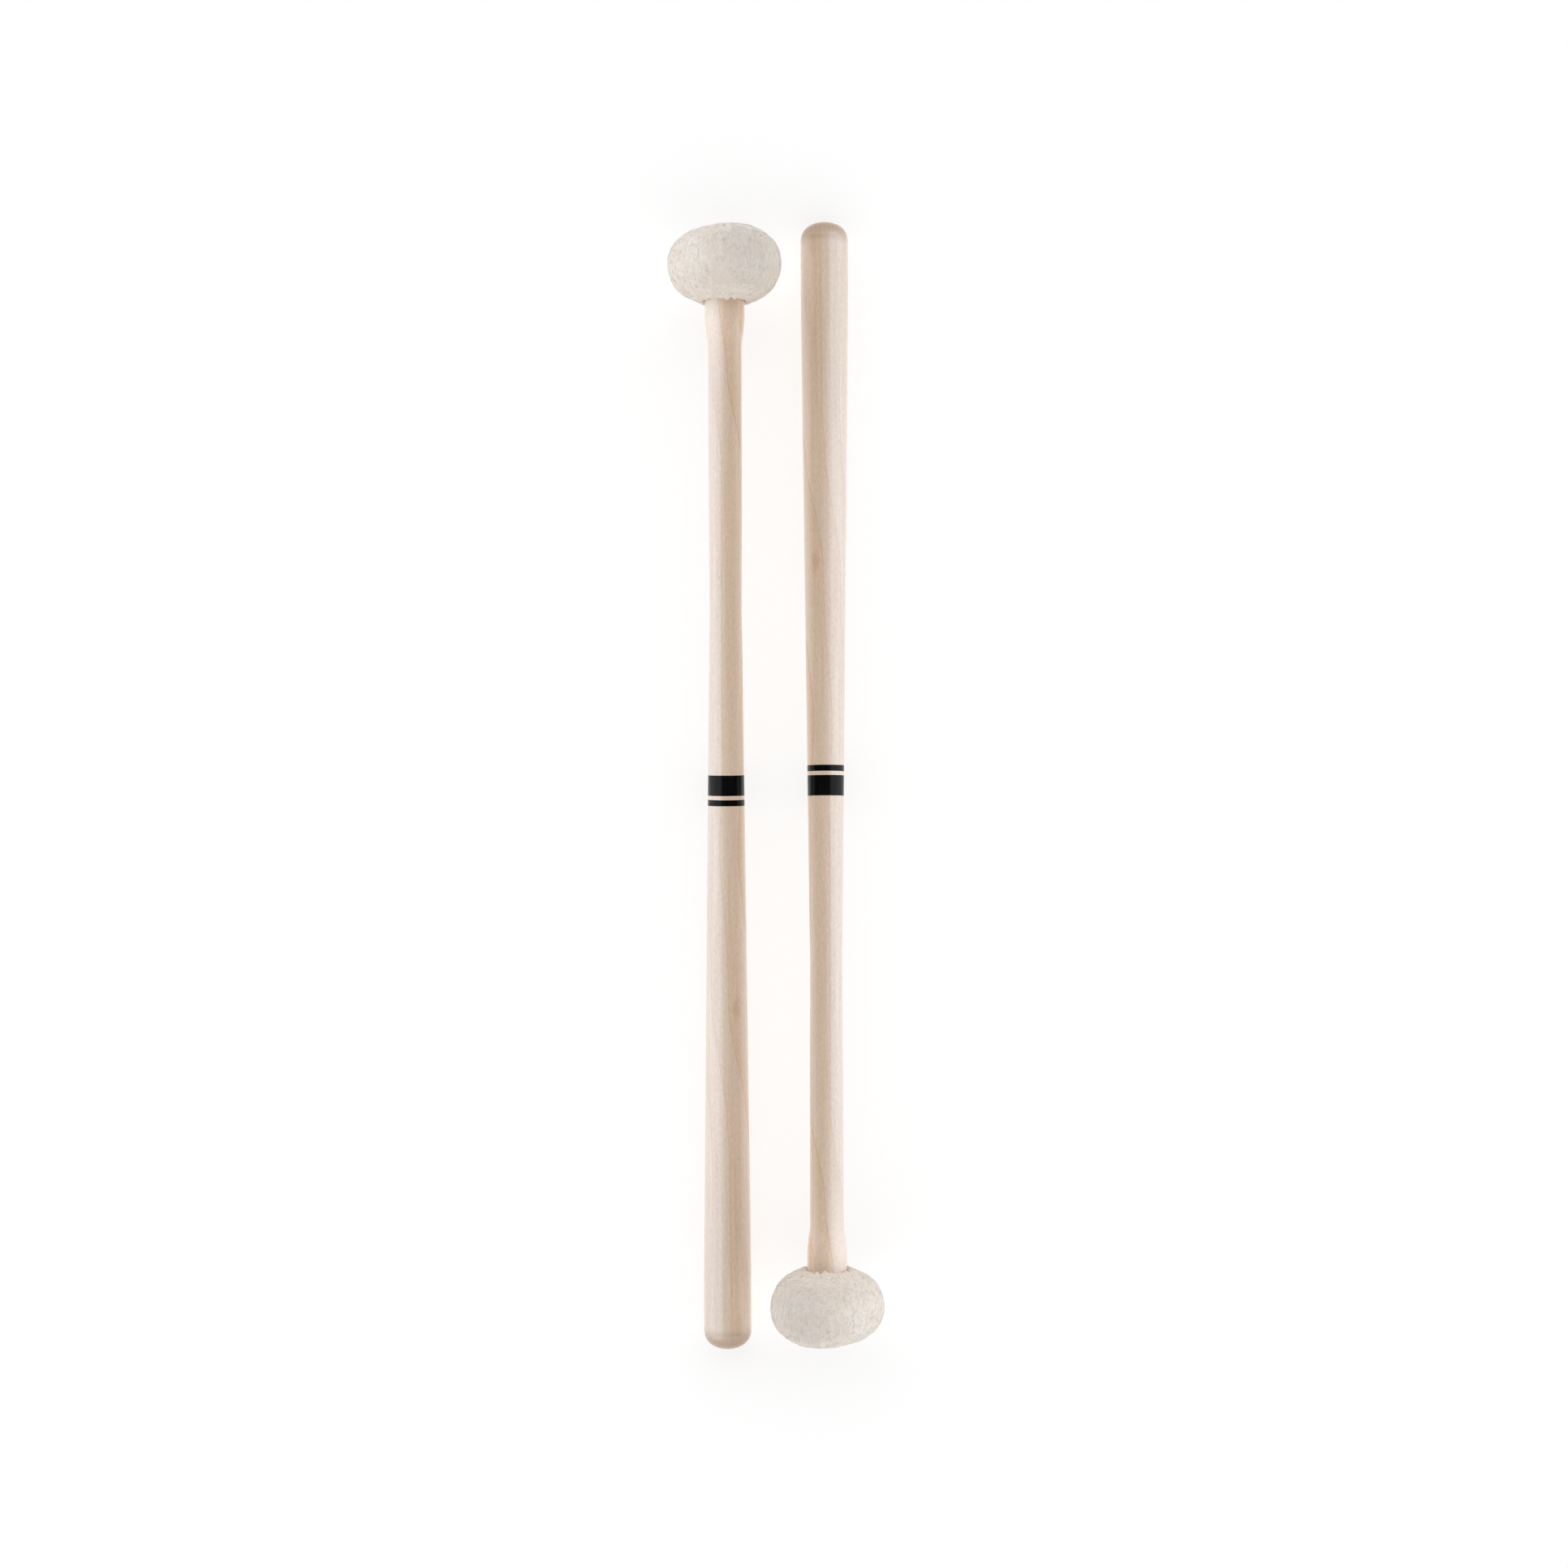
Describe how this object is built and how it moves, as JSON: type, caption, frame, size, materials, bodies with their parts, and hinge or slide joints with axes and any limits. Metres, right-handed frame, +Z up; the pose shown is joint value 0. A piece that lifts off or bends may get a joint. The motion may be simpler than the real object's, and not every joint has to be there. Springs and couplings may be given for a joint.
{
  "type": "timpani mallet pair",
  "caption": "Timpani mallets lying head to tail, each a tapered maple shaft with black bands, a flared neck and a gathered round felt head.",
  "frame": {"origin": "middle of the pair, on the surface it lies on", "axes": "+X from the left mallet to the right one, +Y along the shafts towards the left mallet's head, +Z up"},
  "size_m": [0.0716, 0.3804, 0.0381],
  "materials": {
    "maple": "turned hard maple, satin lacquer",
    "black_band": "black foil band, satin",
    "leather": "vegetable-tanned, cut edge",
    "core_wood": "turned, unfinished",
    "steel": "zinc plated",
    "hard_felt": "pressed wool felt",
    "soft_felt": "soft fleecy wool felt",
    "thread": "waxed linen thread"
  },
  "bodies": {
    "left_mallet": {"left_shaft": "maple", "left_wide_band": "black_band", "left_narrow_band": "black_band", "left_seat_washer": "leather", "left_head_core": "core_wood", "left_core_washer": "steel", "left_core_screw": "steel", "left_felt_liner": "hard_felt", "left_gather_thread": "thread", "left_felt_cover": "soft_felt"},
    "right_mallet": {"right_shaft": "maple", "right_wide_band": "black_band", "right_narrow_band": "black_band", "right_seat_washer": "leather", "right_head_core": "core_wood", "right_core_washer": "steel", "right_core_screw": "steel", "right_felt_liner": "hard_felt", "right_gather_thread": "thread", "right_felt_cover": "soft_felt"}
  },
  "joints": [
    {"name": "right_mallet_lift", "type": "slide", "parent": "left_mallet", "child": "right_mallet", "axis": [0, 0, 1], "range_m": [0, 0.12]}
  ]
}
